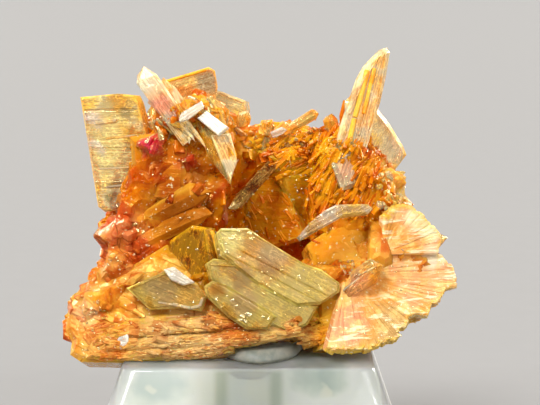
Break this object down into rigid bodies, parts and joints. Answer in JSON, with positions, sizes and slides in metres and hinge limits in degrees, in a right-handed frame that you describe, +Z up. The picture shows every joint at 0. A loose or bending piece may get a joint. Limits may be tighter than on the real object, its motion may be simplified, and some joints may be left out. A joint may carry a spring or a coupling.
{
  "type": "vesuvianite specimen on a clear stand",
  "caption": "Orange vesuvianite crystal cluster with clear blades and tablets, held by a dab of tack on a clear block stand.",
  "frame": {"origin": "middle of the stand's underside", "axes": "+Z up, X across the specimen's width, -Y towards the front that the picture shows"},
  "size_m": [0.0216, 0.0192, 0.0253],
  "materials": {
    "vesuvianite": "vitreous orange crystal, honey and pink in places, clear yellow at the blade tips",
    "tack": "soft translucent grey tack",
    "clear_plastic": "clear moulded plastic, slightly milky"
  },
  "bodies": {
    "root": {"vesuvianite_cluster": "vesuvianite", "mineral_tack": "tack", "display_stand": "clear_plastic"}
  },
  "joints": []
}
